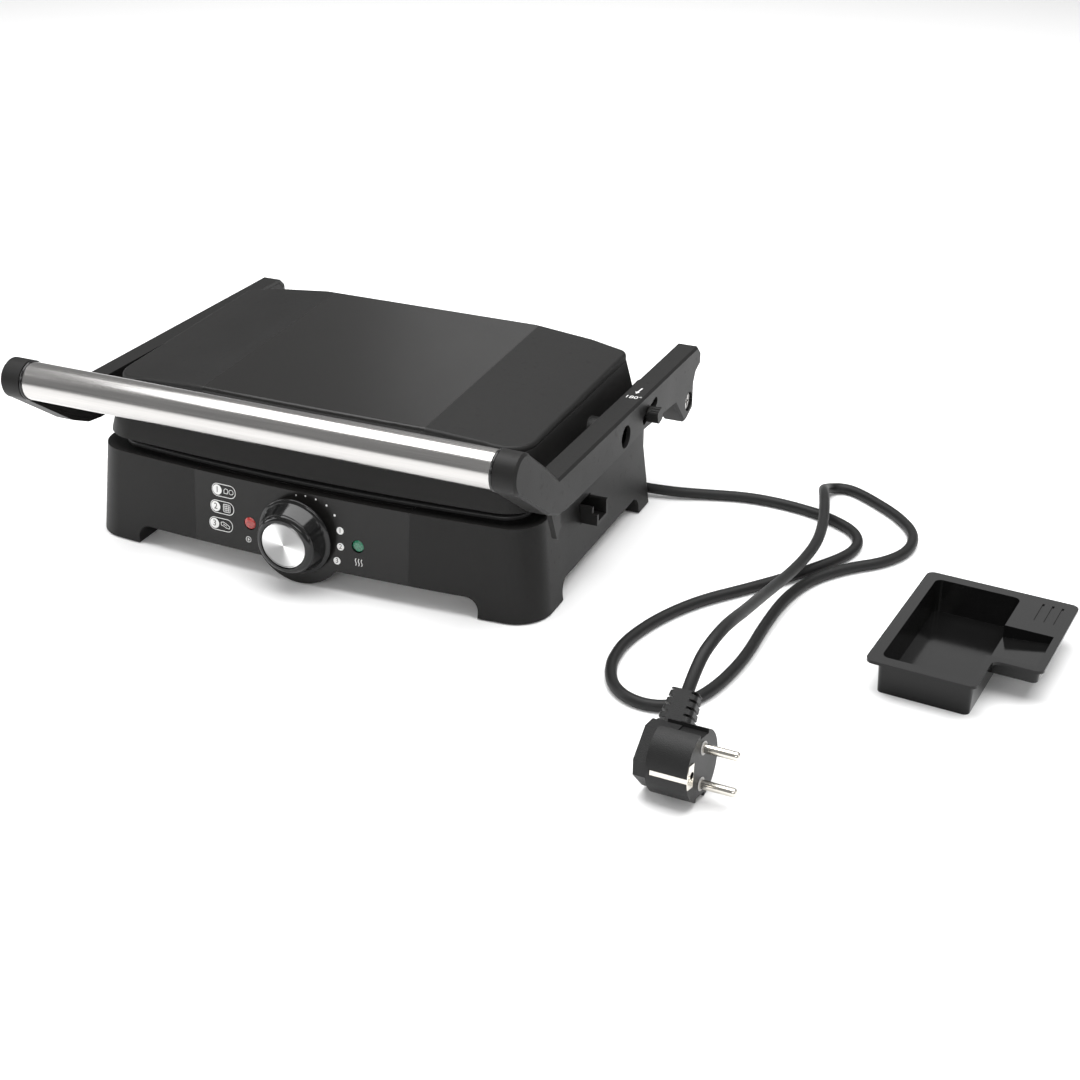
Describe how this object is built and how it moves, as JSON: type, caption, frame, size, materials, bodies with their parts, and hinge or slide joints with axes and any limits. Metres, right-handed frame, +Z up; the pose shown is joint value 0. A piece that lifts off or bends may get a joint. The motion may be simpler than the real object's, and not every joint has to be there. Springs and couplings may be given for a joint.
{
  "type": "panini press",
  "caption": "Contact grill with a low ribbed base, a hinged floating lid on two side arms, a bar handle, a front dial, a drip tray and a mains lead with plug.",
  "frame": {"origin": "on the table, under the middle of the base between its left and right feet", "axes": "+X to the user's right along the handle, +Y to the rear towards the hinges, +Z up"},
  "size_m": [0.5945, 0.3765, 0.1299],
  "materials": {
    "housing_plastic": "fine satin grain",
    "gloss_plastic": "glossy",
    "tray_plastic": "glossy",
    "spout_plastic": "satin",
    "nonstick_plate": "non-stick coating",
    "steel": "zinc plated",
    "zinc_sheet": "plain sheet",
    "brushed_stainless": "brushed along its length",
    "spun_aluminium": "spun face",
    "bare_aluminium": "plain",
    "heater_sheath": "heat tinted",
    "pad_rubber": "matte",
    "cord_rubber": "matte",
    "plug_rubber": "fine grain",
    "pin_nickel": "nickel plated",
    "red_lens": "clear red",
    "green_lens": "clear green",
    "lamp_glass": "clear",
    "terminal_plastic": "plain",
    "core_insulation": "plain"
  },
  "bodies": {
    "base": {"base_housing": "housing_plastic", "base_bottom_plate": "zinc_sheet", "foot_pads": "pad_rubber", "bottom_screws": "steel", "lower_grill_plate": "nonstick_plate", "fat_spout": "spout_plastic", "lower_heating_element": "heater_sheath", "lower_reflector": "bare_aluminium", "lower_element_clamps": "zinc_sheet", "lower_plate_screws": "steel", "thermostat": "zinc_sheet", "red_lamp_lens": "red_lens", "green_lamp_lens": "green_lens", "neon_lamps": "lamp_glass", "terminal_block": "terminal_plastic", "thermal_fuse": "zinc_sheet", "internal_leads": "core_insulation", "cord_gland": "cord_rubber", "power_cord": "cord_rubber", "plug_body": "plug_rubber", "plug_pins": "pin_nickel", "plug_earth_contact": "pin_nickel", "hinge_tower_right": "housing_plastic", "hinge_tower_left": "housing_plastic", "hinge_pin_right": "steel", "hinge_pin_left": "steel"},
    "arms": {"arm_shell_right": "housing_plastic", "arm_shell_left": "housing_plastic", "arm_bar_right": "zinc_sheet", "arm_bar_left": "zinc_sheet", "arm_cover_right": "housing_plastic", "arm_cover_left": "housing_plastic", "handle_cap_right": "gloss_plastic", "handle_cap_left": "gloss_plastic", "handle_screw_right": "steel", "handle_screw_left": "steel", "lid_pivot_right": "steel", "lid_pivot_left": "steel", "handle_tube": "brushed_stainless", "release_spring": "steel", "hook_pin": "steel"},
    "lid": {"lid_cover": "housing_plastic", "lid_frame": "housing_plastic", "lid_screws": "steel", "upper_grill_plate": "nonstick_plate", "upper_heating_element": "heater_sheath", "upper_reflector": "bare_aluminium", "upper_element_clamps": "zinc_sheet", "upper_plate_screws": "steel"},
    "knob": {"dial_knob": "gloss_plastic", "knob_disc": "spun_aluminium"},
    "release": {"release_lever": "housing_plastic"},
    "hook": {"latch_hook": "housing_plastic"},
    "tray": {"drip_tray": "tray_plastic"}
  },
  "joints": [
    {"name": "arm_hinge", "type": "hinge", "parent": "base", "child": "arms", "pos_m": [0, 0.1267, 0.0571], "axis": [-1, 0, 0], "range_deg": [0, 176]},
    {"name": "lid_tilt", "type": "hinge", "parent": "arms", "child": "lid", "pos_m": [0, 0.015, 0.0789], "axis": [-1, 0, 0], "range_deg": [0, 3.5]},
    {"name": "knob_turn", "type": "hinge", "parent": "base", "child": "knob", "pos_m": [0, -0.1, 0.032], "axis": [0, 1, 0], "range_deg": [0, 115]},
    {"name": "release_slide", "type": "slide", "parent": "arms", "child": "release", "axis": [0, -0.9703, -0.2419], "range_m": [0, 0.005], "stiffness_N_per_m": 60, "springref_m": -0.004},
    {"name": "hook_swing", "type": "hinge", "parent": "arms", "child": "hook", "pos_m": [0.158, -0.0825, 0.083], "axis": [1, 0, 0], "range_deg": [0, 25]},
    {"name": "tray_lift", "type": "slide", "parent": "base", "child": "tray", "axis": [0, 0, 1], "range_m": [0, 0.05]}
  ]
}
